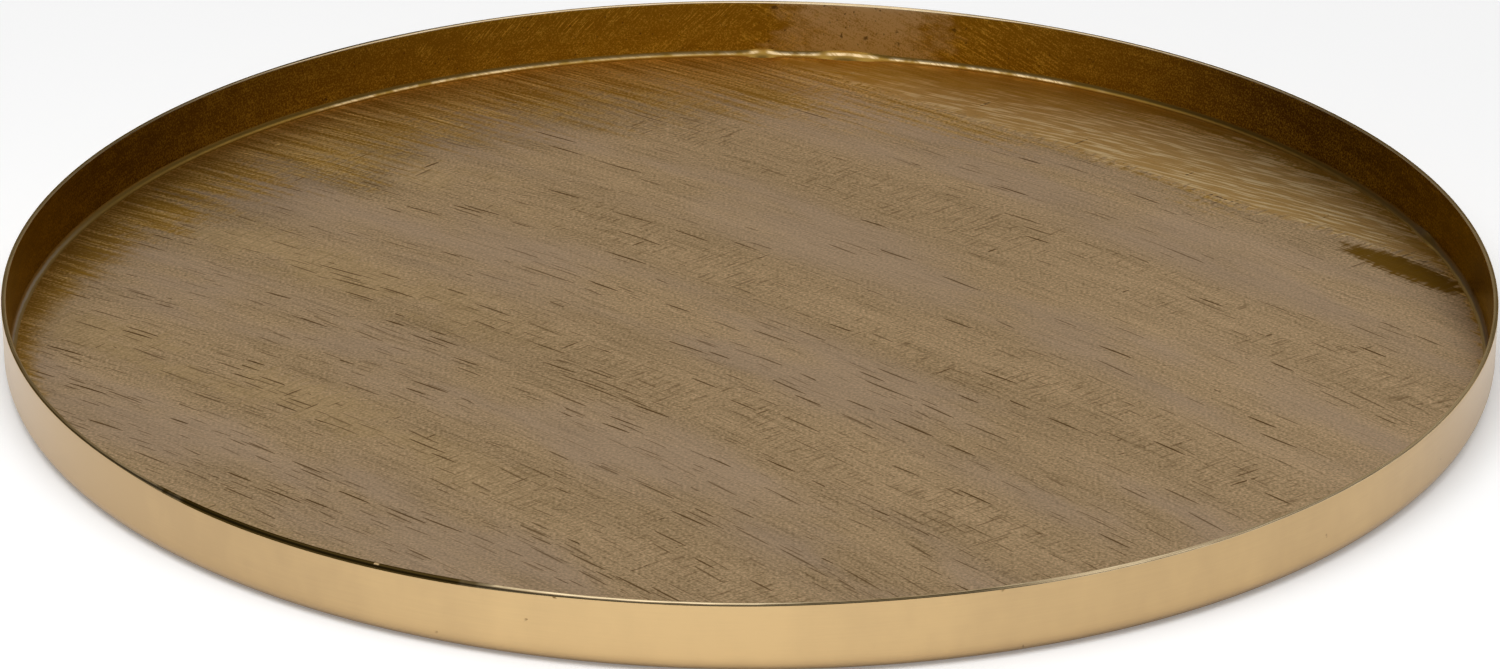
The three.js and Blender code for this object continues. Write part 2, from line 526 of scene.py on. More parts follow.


# Along the wall the floor is painted golden brown as a reflection of the brown wall. It reaches furthest in
# at the back, little in front, and less towards the right. It is darker at the left and behind the middle.
# Where it reaches further in, the strokes carry its edge further too.
REFLECTED_WALL_GOLD = (0.94, 0.625, 0.23, 1.0)
REFLECTED_WALL_BROWN = (0.43, 0.225, 0.018, 1.0)
REFLECTED_WALL_TONE = 0.54
CORNER_REACH = (-20 * MM, 150 * MM, 9 * MM, 60 * MM)
CORNER_TO_RIGHT = (40 * MM, 150 * MM, 1.0, 0.2)
CORNER_LESS_IN_LAST_LANE = 0.7
CORNER_CARRIED = (10 * MM, 50 * MM, 0.1, 1.0)
CORNER_FULL_WITHIN = 0.25
REFLECTED_WALL_COVER = 0.9
CORNER_DARK_LEFT = (-115 * MM, -178 * MM, 0.0, 0.4)
CORNER_DARK_BEHIND = (-110 * MM, 10 * MM, 40 * MM)
CORNER_DARKER_BEHIND = 0.15


def wall_reflection_on_floor(x, y, marks):
    """Painted reflection of the wall on the floor along it: its colour, and how far it covers the rest."""
    reach = ramp(y, *CORNER_REACH) * ramp(x - y, *CORNER_TO_RIGHT)
    reach = reach * (1.0 - CORNER_LESS_IN_LAST_LANE * marks.last_lane)
    from_wall = marks.from_wall + marks.carried * ramp(reach, *CORNER_CARRIED)
    cover = ramp(from_wall, reach, reach * CORNER_FULL_WITHIN) * REFLECTED_WALL_COVER
    tone = REFLECTED_WALL_TONE + contrast(marks.hair, strength=2.2) + contrast(marks.streaks, strength=2.0)
    tone = tone + contrast(marks.felt, strength=2.2) - ramp(x, *CORNER_DARK_LEFT)
    tone = tone - CORNER_DARKER_BEHIND * within(x, *CORNER_DARK_BEHIND)
    return tint(REFLECTED_WALL_BROWN, REFLECTED_WALL_GOLD, tone), cover


# The last lane is golden in its strokes, as painted sheen where they catch the light, brown between them,
# and amber near the wall.
LANE_BROWN = (0.68, 0.41, 0.13, 1.0)
LANE_SHEEN_GOLD = (1.0, 0.77, 0.43, 1.0)
LANE_AMBER = (0.54, 0.30, 0.03, 1.0)
LANE_COVER = 0.85
AMBER_REACH = (80 * MM, 150 * MM, 30 * MM, 4 * MM)
AMBER_CARRIED = 0.3
AMBER_FULL_WITHIN = 0.3
AMBER_COVER = 0.7
SHEEN_STROKE = (0.49, 0.60, 0.0, 0.9)
SHEEN_LESS_IN_AMBER = 0.8


def lane_amber_and_sheen(base, x, marks):
    """The last lane's amber and its golden strokes of painted sheen over a base colour."""
    reach = ramp(x, *AMBER_REACH)
    amber = ramp(marks.from_wall + marks.carried * AMBER_CARRIED, reach, reach * AMBER_FULL_WITHIN)
    base = tint(base, LANE_AMBER, marks.last_lane * amber * AMBER_COVER)
    sheen = ramp(marks.last_strokes, *SHEEN_STROKE) * (1.0 - SHEEN_LESS_IN_AMBER * amber)
    return tint(base, LANE_SHEEN_GOLD, marks.last_lane * sheen)


# One smooth patch by the wall at the right, where the brush never came, painted dark as a reflection of the
# wall.
PATCH_REFLECTION_BROWN = (0.23, 0.11, 0.0, 1.0)
PATCH_PLACE = (182 * MM, 36 * MM)
PATCH_ANGLE = math.radians(48.65)
PATCH_HALF_LENGTH = 24 * MM
PATCH_HALF_WIDTH = 5.5 * MM
PATCH_RAGGED = 1.6
PATCH_EDGE = (1.3, 0.5)
PATCH_COVER = 0.95


def smooth_patch(x, y, marks):
    """1 in the patch, 0 beside it. Its edge is an oval, ragged by the strokes that end there."""
    along, across = turned_by(x - PATCH_PLACE[0], y - PATCH_PLACE[1], PATCH_ANGLE)
    length = along / PATCH_HALF_LENGTH
    width = across / PATCH_HALF_WIDTH
    ragged = contrast(marks.rungs, PATCH_RAGGED) + contrast(marks.hair, PATCH_RAGGED)
    return ramp(length * length + width * width + ragged, *PATCH_EDGE) * (1.0 - marks.last_lane)


# The face as a whole: its colour at a glancing angle, how rough it is, and how high each kind of mark
# stands, as a share of the depth of a scratch.
FLOOR_GLANCE = (0.95, 0.82, 0.62, 1.0)
FLOOR_ROUGHNESS = 0.34
ROUGHER_BY_HAIR = 0.08
ROUGHER_BY_SCRATCH = 0.1
FLOOR_SCRATCH_DEPTH = 0.04 * MM
FELT_HEIGHT = 0.6
RUNG_HEIGHT = 0.5
LAST_LANE_HEIGHT = 2.0
PATCH_SMOOTHER = 0.8


def brushed_floor_finish():
    finish, shader, (x, y, _) = new_finish("brushed_floor")
    marks = floor_marks(x, y)
    scratches = floor_scratches(x, marks)
    patch = smooth_patch(x, y, marks)
    base = tint(toned_floor(x, y, marks), LANE_BROWN, marks.last_lane * LANE_COVER)
    base = tint(base, SCRATCH_BROWN, scratches)
    # Painted reflection of the wall on the floor along it.
    base = tint(base, *wall_reflection_on_floor(x, y, marks))
    # Painted sheen on the last lane's strokes.
    base = lane_amber_and_sheen(base, x, marks)
    # The smooth patch is painted dark as a reflection of the wall.
    plug(shader.inputs["Base Color"], tint(base, PATCH_REFLECTION_BROWN, patch * PATCH_COVER))
    shader.inputs["Specular Tint"].default_value = FLOOR_GLANCE
    roughness = FLOOR_ROUGHNESS + ROUGHER_BY_HAIR * marks.hair + ROUGHER_BY_SCRATCH * scratches
    plug(shader.inputs["Roughness"], roughness)
    height = marks.hair + FELT_HEIGHT * marks.felt + RUNG_HEIGHT * marks.rungs * marks.crossed
    height = height + LAST_LANE_HEIGHT * marks.last_strokes * marks.last_lane - scratches
    scratch_depth(shader, height * (1.0 - PATCH_SMOOTHER * patch), FLOOR_SCRATCH_DEPTH)
    return finish


# The underside and every outside face of the tray: bare brass, ground and satin. It is painted darker, as
# shade, towards the left and the right, at its ends and at its foot, where it is also rougher, with a few
# pits and one nick below the top at the front left.
# Marks that follow the rim have a length along it and a height.
BRASS = (0.607, 0.419, 0.203, 1.0)
BRASS_DULL = (0.46, 0.315, 0.16, 1.0)
FOOT_SHADE_BROWN = (0.30, 0.19, 0.075, 1.0)
PIT_BROWN = (0.12, 0.06, 0.012, 1.0)
GRINDING_LENGTH = 14 * MM
GRINDING_HEIGHT = 0.35 * MM
GRINDING_WIDTH = 1.5 * MM
GRINDING_DEPTH = 0.003 * MM
OUTSIDE_BAND = (16 * MM, 60 * MM)
OUTSIDE_CLOUD = (5 * MM, 7 * MM)
OUTSIDE_DULLNESS = 0.1
OUTSIDE_ROUGHNESS = 0.27
ROUGHER_BY_GRINDING = 0.04
FOOT_SHADE = 0.5
FOOT_ROUGHER = 0.1
SHADE_TOWARDS_LEFT = (-30 * MM, -140 * MM, 0.0, 0.9)
SHADE_TOWARDS_RIGHT = (-10 * MM, 90 * MM, 0.0, 0.5)
SHADED_ENDS = (140 * MM, 192 * MM, 0.0, 0.55)
ROUGH_AND_SHADED_FOOT = (6 * MM, 0.8 * MM)
SHADED_FOOT_BROWN = (3.8 * MM, 0.7 * MM, 0.0, 0.7)
OUTSIDE_PIT = 2.4 * MM
OUTSIDE_PIT_SHARE = 0.006
OUTSIDE_PIT_COVER = 0.6
NICK_AZIMUTH = math.radians(-103.3)
NICK_HEIGHT = RIM_TOP - 0.9 * MM
NICK = (-0.3 * MM, 0.3 * MM, 0.2 * MM)
NICK_COVER = 0.8


def round_the_rim(x, y):
    """The place projected onto the rim's circle, in metres: it changes only along the rim."""
    radius = distance(x, y)
    return x / radius * WALL_INNER, y / radius * WALL_INNER


def rim_marks(rim, height, size):
    """Marks that follow the rim, of about a length and a height: a random value about 0.5."""
    return mottle(rim[0] / size[0], rim[1] / size[0], height / size[1])


def satin_outside_finish():
    finish, shader, (x, y, z) = new_finish("satin_outside")
    rim = round_the_rim(x, y)
    layers = z / GRINDING_HEIGHT + distance(x, y) / GRINDING_WIDTH
    grinding = mottle(rim[0] / GRINDING_LENGTH, rim[1] / GRINDING_LENGTH, layers)
    bands = rim_marks(rim, z, OUTSIDE_BAND)
    clouds = rim_marks(rim, z, OUTSIDE_CLOUD)
    foot = ramp(z, *ROUGH_AND_SHADED_FOOT)
    # Painted shade towards the left and the right, at the ends and at the foot.
    dull_and_shade = OUTSIDE_DULLNESS + FOOT_SHADE * foot + ramp(x, *SHADE_TOWARDS_LEFT) + ramp(x, *SHADE_TOWARDS_RIGHT)
    dull_and_shade = dull_and_shade + ramp(maths("ABSOLUTE", x), *SHADED_ENDS) + contrast(bands, strength=0.7)
    dull_and_shade = dull_and_shade + contrast(clouds, strength=0.35) + contrast(grinding, strength=0.3)
    base = tint(BRASS, BRASS_DULL, dull_and_shade)
    # Painted shade, brown, low on the foot.
    base = tint(base, FOOT_SHADE_BROWN, ramp(z, *SHADED_FOOT_BROWN))
    specks = pits(x, y, z, OUTSIDE_PIT, OUTSIDE_PIT_SHARE)
    base = tint(base, PIT_BROWN, specks * OUTSIDE_PIT_COVER)
    nick_up = z - NICK_HEIGHT
    nick_along = (maths("ARCTAN2", y, x) - NICK_AZIMUTH) * WALL_OUTER + nick_up
    nick = within(nick_along, *NICK) * within(nick_up, *NICK)
    plug(shader.inputs["Base Color"], tint(base, PIT_BROWN, nick * NICK_COVER))
    roughness = OUTSIDE_ROUGHNESS + ROUGHER_BY_GRINDING * grinding + FOOT_ROUGHER * foot
    plug(shader.inputs["Roughness"], roughness)
    scratch_depth(shader, grinding, GRINDING_DEPTH)
    return finish


satin_outside = satin_outside_finish()
add_piece(disc_mesh(), "base_disc", [brushed_floor_finish(), satin_outside])

# Rim band: a strip of brass rolled on edge into a hoop, open at the back for the seam weld. The
# outside is ground and satin, the inside toned dark brown and rubbed with slanting strokes, and
# the top filed by hand with both its edges eased.

TOP_EASE = 0.30 * MM
SEAM_AZIMUTH = math.radians(89)
SEAM_GAP = 2.4 * MM
FOOT_STEPS = 8
WALL_ROWS = 10
EASE_STEPS = 5
LAND_STEPS = 3
HOOP_TURNS = 720
SEAM_FINE_REACH = 16 * MM
SEAM_FINE_STEP = 0.3 * MM
HALF_GAP_ANGLE = SEAM_GAP / (WALL_INNER + WALL_OUTER)
OUTSIDE, TOP, INSIDE = range(3)

# The top was filed by hand. On one stretch at the front left it is rounder outside and is painted dark, as
# a dark reflection. On others it leans and catches the light. A stretch has a middle and a half length in
# degrees, and a leaning one the drop of its outer edge, or of its inner edge where that is below zero.
ROUND_STRETCH = (-122, 16)
ROUND_STRETCH_WIDER = 0.68 * MM
ROUND_STRETCH_TALLER = 0.95 * MM
LEANING_STRETCHES = [
    (-98, 12, 0.22 * MM),
    (-64, 11, 0.22 * MM),
    (79, 11, -0.22 * MM),
    (124, 9, -0.16 * MM),
]


def turn_from(middle, azimuth):
    """The shorter turn to an azimuth, from a place round the tray in degrees."""
    turn = azimuth - math.radians(middle)
    return math.atan2(math.sin(turn), math.cos(turn))


def stretch(azimuth, middle, half_length):
    """1 in the middle of a stretch of the rim, falling to 0 beyond its ends."""
    away = turn_from(middle, azimuth) / math.radians(half_length)
    return math.exp(-(away ** 4))


def hoop_section_at(azimuth):
    """Outline of the strip at an azimuth."""
    rounder = stretch(azimuth, *ROUND_STRETCH)
    ease_width = TOP_EASE + ROUND_STRETCH_WIDER * rounder
    ease_height = TOP_EASE + ROUND_STRETCH_TALLER * rounder
    lean = sum(drop * stretch(azimuth, middle, half) for middle, half, drop in LEANING_STRETCHES)
    outer_height = RIM_TOP - ease_height - max(lean, 0.0)
    inner_height = RIM_TOP - TOP_EASE - max(-lean, 0.0)
    foot = ground_edge(EDGE_ANGLE_AT_HOOP, 0.0, FOOT_STEPS)
    outside = [
        (WALL_OUTER, GROUND_EDGE_RADIUS + (outer_height - GROUND_EDGE_RADIUS) * i / WALL_ROWS)
        for i in range(1, WALL_ROWS)
    ]
    outer_centre = WALL_OUTER - ease_width
    inner_centre = WALL_INNER + TOP_EASE
    outer_ease = arc(outer_centre, outer_height, ease_width, ease_height, 0.0, math.pi / 2, EASE_STEPS)
    inner_ease = arc(inner_centre, inner_height, TOP_EASE, TOP_EASE, math.pi / 2, math.pi, EASE_STEPS)
    (outer_r, outer_h), (inner_r, inner_h) = outer_ease[-1], inner_ease[0]
    land = [
        (outer_r + (inner_r - outer_r) * i / LAND_STEPS, outer_h + (inner_h - outer_h) * i / LAND_STEPS)
        for i in range(1, LAND_STEPS)
    ]
    inside = [
        (WALL_INNER, inner_height + (HOOP_FOOT - inner_height) * i / WALL_ROWS)
        for i in range(1, WALL_ROWS + 1)
    ]
    return foot + outside + outer_ease + land + inner_ease + inside


# The side that each stretch of the outline shows, from its foot over the top to the inside.
hoop_sides = [OUTSIDE] * (FOOT_STEPS + WALL_ROWS)
hoop_sides += [TOP] * (2 * EASE_STEPS + LAND_STEPS)
hoop_sides += [INSIDE] * (WALL_ROWS + 1)


def turned_mesh(name, section_at, sides, azimuths, closed):
    """Mesh of a closed section carried round the tray. An open ring gets a cap at each end."""
    verts = [hand_made(r, a, h) for a in azimuths for r, h in section_at(a)]
    count = len(sides)
    turns = len(azimuths)
    faces = []
    finishes = []
    for i in range(turns if closed else turns - 1):
        here = i * count
        there = (i + 1) % turns * count
        for j in range(count):
            k = (j + 1) % count
            faces.append((here + j, there + j, there + k, here + k))
            finishes.append(sides[j])
    if not closed:
        last = (turns - 1) * count
        faces.append(tuple(range(count)))
        faces.append(tuple(last + j for j in reversed(range(count))))
        finishes += [sides[0]] * 2
    mesh = bpy.data.meshes.new(name)
    mesh.from_pydata(verts, [], faces)
    mesh.polygons.foreach_set("material_index", finishes)
    return mesh


def hoop_azimuths():
    """From one side of the seam gap all the way round to the other, in finer steps near the seam."""
    fine_reach = SEAM_FINE_REACH / WALL_INNER
    fine_count = round(SEAM_FINE_REACH / SEAM_FINE_STEP)
    start = HALF_GAP_ANGLE
    end = 2 * math.pi - HALF_GAP_ANGLE
    turns = [start + fine_reach * i / fine_count for i in range(fine_count)]
    coarse = end - start - 2 * fine_reach
    turns += [start + fine_reach + coarse * i / HOOP_TURNS for i in range(HOOP_TURNS)]
    turns += [end - fine_reach + fine_reach * i / fine_count for i in range(fine_count + 1)]
    return [SEAM_AZIMUTH + turn for turn in turns]


# The top's file marks carry a painted highlight. A painted dark reflection lies along its outer edge, at
# the tray's ends, and on the round stretch with one bright drop in it, and less of it at the front right.
# How far out a place lies is measured from the wall's inside.
RIM_TOP_REFLECTED_DARK = (0.05, 0.031, 0.008, 1.0)
RIM_TOP_HIGHLIGHT = (0.95, 0.76, 0.48, 1.0)
TOP_GLANCE = (0.75, 0.55, 0.32, 1.0)
TOP_ROUGHNESS = 0.22
FILE_LINE = (10 * MM, 0.22 * MM)
FILE_LINE_DEPTH = 0.01 * MM
FILE_LINE_HIGHLIGHT = 1.4
ROUGHER_BY_FILE_LINE = 0.08
RAGGED_EDGE = (7 * MM, 7 * MM)
RAGGED_ACROSS = 0.4 * MM
RAGGED_ALONG = math.radians(10)
OUTER_EDGE_DARK = (0.66 * MM, 0.88 * MM, 0.0, 0.9)
ROUND_DARK_BEYOND = math.radians(3)
ROUND_DARK_INSIDE = math.radians(4)
TOP_ENDS = (110 * MM, 185 * MM)
TOP_ENDS_DARK = (0.15 * MM, 0.35 * MM, 0.45, 0.7)
LESS_DARK_RIGHT = (50 * MM, 90 * MM)
LESS_DARK_FRONT = (-40 * MM, -90 * MM, 0.0, 0.8)
DROP_AZIMUTH = math.radians(-116.4)
DROP = (-0.5 * MM, 0.5 * MM, 0.3 * MM)
DROP_REACH = (0.95 * MM, 0.7 * MM)


def filed_top_finish():
    finish, shader, (x, y, _) = new_finish("filed_top")
    rim = round_the_rim(x, y)
    radius = distance(x, y)
    azimuth = maths("ARCTAN2", y, x)
    file_lines = rim_marks(rim, radius, FILE_LINE)
    ragged_edge = strokes(*rim, RAGGED_EDGE, seed=3.0)
    outward = radius - WALL_INNER + contrast(ragged_edge, RAGGED_ACROSS)
    middle, half_length = [math.radians(angle) for angle in ROUND_STRETCH]
    away = maths("ABSOLUTE", azimuth - middle) + contrast(ragged_edge, RAGGED_ALONG)
    round_dark = ramp(away, half_length + ROUND_DARK_BEYOND, half_length - ROUND_DARK_INSIDE)
    ends_dark = ramp(maths("ABSOLUTE", x), *TOP_ENDS) * ramp(outward, *TOP_ENDS_DARK)
    # Painted dark reflection on the top, less of it at the front right.
    reflected_dark = strongest(ramp(outward, *OUTER_EDGE_DARK), round_dark, ends_dark)
    reflected_dark = reflected_dark * (1.0 - ramp(x, *LESS_DARK_RIGHT) * ramp(y, *LESS_DARK_FRONT))
    # Painted highlight in the file marks.
    base = tint(BRASS_DULL, RIM_TOP_HIGHLIGHT, FILE_LINE_HIGHLIGHT * file_lines)
    base = tint(base, RIM_TOP_REFLECTED_DARK, reflected_dark)
    drop = within((azimuth - DROP_AZIMUTH) * WALL_INNER, *DROP) * ramp(outward, *DROP_REACH)
    plug(shader.inputs["Base Color"], tint(base, BRASS_DULL, drop))
    shader.inputs["Specular Tint"].default_value = TOP_GLANCE
    plug(shader.inputs["Roughness"], TOP_ROUGHNESS + ROUGHER_BY_FILE_LINE * file_lines)
    scratch_depth(shader, file_lines, FILE_LINE_DEPTH)
    return finish


# The inside is brown at the back, with painted shade at the sides, darkest at the right, and a painted
# reflection low down. It was rubbed with rising strokes left of the back's middle and with falling ones
# right of it, where one stretch is rubbed pale and pitted. Places along it are counted from the middle of
# the back, to the right.
WALL_BROWN = (0.40, 0.215, 0.012, 1.0)
WALL_SHADOW = (0.095, 0.046, 0.006, 1.0)
WALL_DEEP_SHADE = (0.055, 0.026, 0.004, 1.0)
WALL_STROKE = (0.84, 0.55, 0.09, 1.0)
WALL_PALE = (0.77, 0.57, 0.33, 1.0)
WALL_GLANCE = (0.9, 0.72, 0.4, 1.0)
WALL_TONE = 0.075
WALL_PALE_TONE = 0.95
WALL_ROUGHNESS = 0.30
ROUGHER_BY_CLOUD = 0.08
RUBBED_BRIGHT = 4.5
STROKES_DIMMED_BY_SIDE_SHADE = 0.6
WALL_SCRATCH_DEPTH = 0.04 * MM
LEVEL_HEIGHT = 0.5
RUBBED_HEIGHT = 2.0
WALL_PIT_HEIGHT = 0.5
RISING_STROKE = (8 * MM, 0.65 * MM)
FALLING_STROKE = (7 * MM, 0.7 * MM)
FALLING_SLOPE = 0.47
FALLING_STRENGTH = 0.7
LEVEL_STROKE = (12 * MM, 0.8 * MM)
WALL_PLACE = (9 * MM, 9 * MM)
WALL_CLOUD = (9 * MM, 6 * MM)
WALL_GRAIN = 0.5 * MM
RISING_RUN = (-110 * MM, 5 * MM, 40 * MM)
RISING_IN_PLACES = (0.40, 0.62, 0.15, 1.0)
RISING_UPWARD = (8 * MM, 15 * MM, 0.4, 1.0)
FALLING_RUN = (12 * MM, 85 * MM, 25 * MM)
PALE_RUN = (24 * MM, 46 * MM, 20 * MM)
PALE_EDGE = (7 * MM, 4 * MM)
PALE_RAGGED = 34 * MM
SHADOW_MIDDLE = -5 * MM
SHADOW_SIDES = (70 * MM, 185 * MM)
DEEP_SHADE_AT_RIGHT = (110 * MM, 185 * MM, 0.0, 0.8)
LOW_REFLECTION = (12 * MM, 5 * MM, 0.0, 0.12)
LESS_SHADE_AT_LEFT = (-100 * MM, -190 * MM, 0.0, 0.08)
LARGE_PIT = 3.4 * MM
LARGE_PIT_SHARE = (0.01, 0.31)
SMALL_PIT = 1.3 * MM
SMALL_PIT_SHARE = 0.14
WALL_PIT_COVER = 0.8


def rubbed_wall(rim, run, z, falling):
    """The strokes that the wall was rubbed with: a value about 0, and 0 where they fade out."""
    rising = strokes(run + z, z - run, RISING_STROKE, seed=2.0)
    places = rim_marks(rim, z, WALL_PLACE)
    rises = within(run, *RISING_RUN) * ramp(places, *RISING_IN_PLACES) * ramp(z, *RISING_UPWARD)
    falls = within(run, *FALLING_RUN) * FALLING_STRENGTH
    return contrast(rising, rises) + contrast(falling, falls)


def toned_inside_finish():
    finish, shader, (x, y, z) = new_finish("toned_inside")
    rim = round_the_rim(x, y)
    run = maths("ARCTAN2", x, y) * WALL_INNER
    falling = strokes(run - z * FALLING_SLOPE, z + run * FALLING_SLOPE, FALLING_STROKE, seed=3.0)
    rubbed = rubbed_wall(rim, run, z, falling)
    level = rim_marks(rim, z, LEVEL_STROKE)
    clouds = rim_marks(rim, z, WALL_CLOUD)
    grain = mottle(x / WALL_GRAIN, y / WALL_GRAIN, z / WALL_GRAIN)
    pale = within(run + contrast(rim_marks(rim, z, PALE_EDGE), PALE_RAGGED), *PALE_RUN)
    # Painted shade at the sides, darkest at the right, less at the left, and a painted reflection low on
    # the wall.
    side_shade = ramp(maths("ABSOLUTE", x - SHADOW_MIDDLE), *SHADOW_SIDES)
    base = tint(tint(WALL_BROWN, WALL_SHADOW, side_shade), WALL_DEEP_SHADE, ramp(x, *DEEP_SHADE_AT_RIGHT))
    tone = WALL_TONE + ramp(z, *LOW_REFLECTION) + ramp(x, *LESS_SHADE_AT_LEFT) + RUBBED_BRIGHT * rubbed
    tone = tone + contrast(clouds, strength=0.6) + contrast(level, strength=0.6)
    tone = tone + contrast(grain, strength=2.6)
    base = tint(base, WALL_STROKE, tone * (1.0 - STROKES_DIMMED_BY_SIDE_SHADE * side_shade))
    pale_tone = WALL_PALE_TONE + contrast(clouds, strength=1.0) + contrast(grain, strength=2.4)
    pale_tone = pale_tone + contrast(falling, strength=1.5)
    base = tint(base, WALL_PALE, pale * pale_tone)
    large_pits = pits(x, y, z, LARGE_PIT, part_way(LARGE_PIT_SHARE, pale))
    wall_pits = strongest(large_pits, pits(x, y, z, SMALL_PIT, SMALL_PIT_SHARE))
    plug(shader.inputs["Base Color"], tint(base, PIT_BROWN, wall_pits * WALL_PIT_COVER))
    shader.inputs["Specular Tint"].default_value = WALL_GLANCE
    plug(shader.inputs["Roughness"], WALL_ROUGHNESS + ROUGHER_BY_CLOUD * clouds)
    height = LEVEL_HEIGHT * level + RUBBED_HEIGHT * rubbed - WALL_PIT_HEIGHT * wall_pits
    scratch_depth(shader, height, WALL_SCRATCH_DEPTH)
    return finish


rim_finishes = [satin_outside, filed_top_finish(), toned_inside_finish()]
rim_mesh = turned_mesh("rim_band_rolled", hoop_section_at, hoop_sides, hoop_azimuths(), False)
add_piece(rim_mesh, "rim_band", rim_finishes)

# Rim seam weld: the short weld of brass filler that closes the hoop's butt gap at the back. It is
# filed flush with the strip inside, outside and on top, and takes the same finishes.

SEAM_STEPS = 8
seam_azimuths = [
    SEAM_AZIMUTH + HALF_GAP_ANGLE * (2 * i / SEAM_STEPS - 1)
    for i in range(SEAM_STEPS + 1)
]
seam_mesh = turned_mesh("rim_seam_weld_filed", hoop_section_at, hoop_sides, seam_azimuths, False)
add_piece(seam_mesh, "rim_seam_weld", rim_finishes)

# Inner corner bead: a fillet of brass weld metal inside the corner of disc and hoop, dressed hollow
# with a round file. It is fuller, and crowned, where the run of weld stopped and started again.

BEAD_LEG = 1.6 * MM
BEAD_HOLLOW = 0.23
BEAD_CROWN = 0.12
BEAD_STEPS = 10
BEAD_TURNS = 2160
BEAD_RIPPLE = 0.10 * MM
BEAD_RIPPLE_LENGTH = 5 * MM

# Where the run stopped: the azimuth in degrees, how far the fuller place spreads, and its swell.
BEAD_STOPS = [(89, 4 * MM, 0.6 * MM), (81.5, 8 * MM, 0.8 * MM), (17, 5 * MM, 0.35 * MM)]


def bead_section_at(azimuth):
    """Outline of the fillet at an azimuth: its face from the wall to the floor, and its back on the
    outside weld. The face bows towards the corner, or away from it where the bead is crowned."""
    leg = BEAD_LEG
    fullness = 0.0
    for middle, spread, swell in BEAD_STOPS:
        away = turn_from(middle, azimuth) * WALL_INNER
        full = math.exp(-((away / spread) ** 2))
        leg += swell * full
        fullness += full
    ripples = WALL_INNER / BEAD_RIPPLE_LENGTH
    lumps = noise.noise((ripples * math.cos(azimuth), ripples * math.sin(azimuth), 0.0))
    leg += BEAD_RIPPLE * lumps
    bow = leg * (BEAD_HOLLOW - (BEAD_HOLLOW + BEAD_CROWN) * min(fullness, 1.0))
    face = []
    for i in range(BEAD_STEPS + 1):
        t = i / BEAD_STEPS
        inset = bow * 4 * t * (1 - t) / math.sqrt(2)
        face.append((WALL_INNER - leg * t + inset, FLOOR_TOP + leg * (1 - t) - inset))
    return face + [(DISC_RADIUS, FLOOR_TOP), (WALL_INNER, HOOP_FOOT)]


# The bead is grey in front and brown behind, browner at its toes, and at the right painted as dark as the
# wall's shade above its floor toe. Its ridge carries a painted highlight in places along the back, broken
# by file
# marks: from, to and fade along it, and how bright. How far aside a place lies is measured from the middle
# of the bead's face, upwards.
BEAD_HIGHLIGHT = (0.74, 0.555, 0.31, 1.0)
BEAD_GREY = (0.46, 0.35, 0.23, 1.0)
BEAD_BROWN = (0.30, 0.175, 0.035, 1.0)
BEAD_ROUGHNESS = 0.34
SMOOTHER_BY_RUBBING = 0.08
BEAD_CLOUD = (6 * MM, 6 * MM)
BEAD_GRAIN = 0.6 * MM
BEAD_GRAIN_DEPTH = 0.02 * MM
BEAD_WAVERS = 0.8 * MM
BEAD_MIDDLE = -0.1 * MM
BEAD_MIDDLE_FADE = (0.9 * MM, 0.2 * MM)
BEAD_BACK = (-30 * MM, 45 * MM)
BEAD_BACK_SLOPE = 0.2
BEAD_SHADE_AT_RIGHT = (90 * MM, 150 * MM)
BEAD_SHADOW = (-1.3 * MM, -0.5 * MM, 0.0, 0.8)
RIDGE_MIDDLE = 0.1 * MM
RIDGE_FADE = (1.0 * MM, 0.3 * MM)
HIGHLIGHT_RUNS = [
    (-128 * MM, -78 * MM, 18 * MM, 0.75),
    (-80 * MM, 0.0, 20 * MM, 0.4),
    (4 * MM, 90 * MM, 28 * MM, 1.0),
]
HIGHLIGHT_CLOUDS = (0.38, 0.56)
BEAD_FILE_MARK = (0.9 * MM, 6 * MM)
BEAD_FILE_SLOPE = 2.0
HIGHLIGHT_IN_FILE_MARKS = (0.36, 0.56, 0.45, 1.0)


def dressed_weld_finish():
    finish, shader, (x, y, z) = new_finish("dressed_weld")
    rim = round_the_rim(x, y)
    run = maths("ARCTAN2", x, y) * WALL_INNER
    clouds = strokes(*rim, BEAD_CLOUD, seed=2.0)
    grain = mottle(x / BEAD_GRAIN, y / BEAD_GRAIN, z / BEAD_GRAIN)
    from_wall = WALL_INNER - distance(x, y)
    aside = (z - FLOOR_TOP) - from_wall + contrast(clouds, BEAD_WAVERS)
    middle = ramp(maths("ABSOLUTE", aside - BEAD_MIDDLE), *BEAD_MIDDLE_FADE)
    base = tint(BEAD_GREY, BEAD_BROWN, ramp(y + x * BEAD_BACK_SLOPE, *BEAD_BACK))
    base = tint(BEAD_BROWN, base, middle + contrast(grain, strength=0.6))
    # Painted shade at the right, above the floor toe.
    base = tint(base, WALL_SHADOW, ramp(x, *BEAD_SHADE_AT_RIGHT) * ramp(aside, *BEAD_SHADOW))
    ridge = ramp(maths("ABSOLUTE", aside - RIDGE_MIDDLE), *RIDGE_FADE)
    highlight_run = strongest(*[within(run, start, end, fade) * bright for start, end, fade, bright in HIGHLIGHT_RUNS])
    file_marks = strokes(run + z * BEAD_FILE_SLOPE, z, BEAD_FILE_MARK, seed=4.0)
    # Painted highlight along the ridge at the back, broken by file marks.
    rubbed = ridge * highlight_run * ramp(clouds, *HIGHLIGHT_CLOUDS) * ramp(file_marks, *HIGHLIGHT_IN_FILE_MARKS)
    plug(shader.inputs["Base Color"], tint(base, BEAD_HIGHLIGHT, rubbed))
    plug(shader.inputs["Roughness"], BEAD_ROUGHNESS - SMOOTHER_BY_RUBBING * rubbed)
    scratch_depth(shader, grain, BEAD_GRAIN_DEPTH)
    return finish


bead_sides = [0] * len(bead_section_at(0.0))
bead_mesh = turned_mesh(
    "inner_corner_bead_dressed", bead_section_at, bead_sides, full_turn(BEAD_TURNS), True
)
add_piece(bead_mesh, "inner_corner_bead", [dressed_weld_finish()])

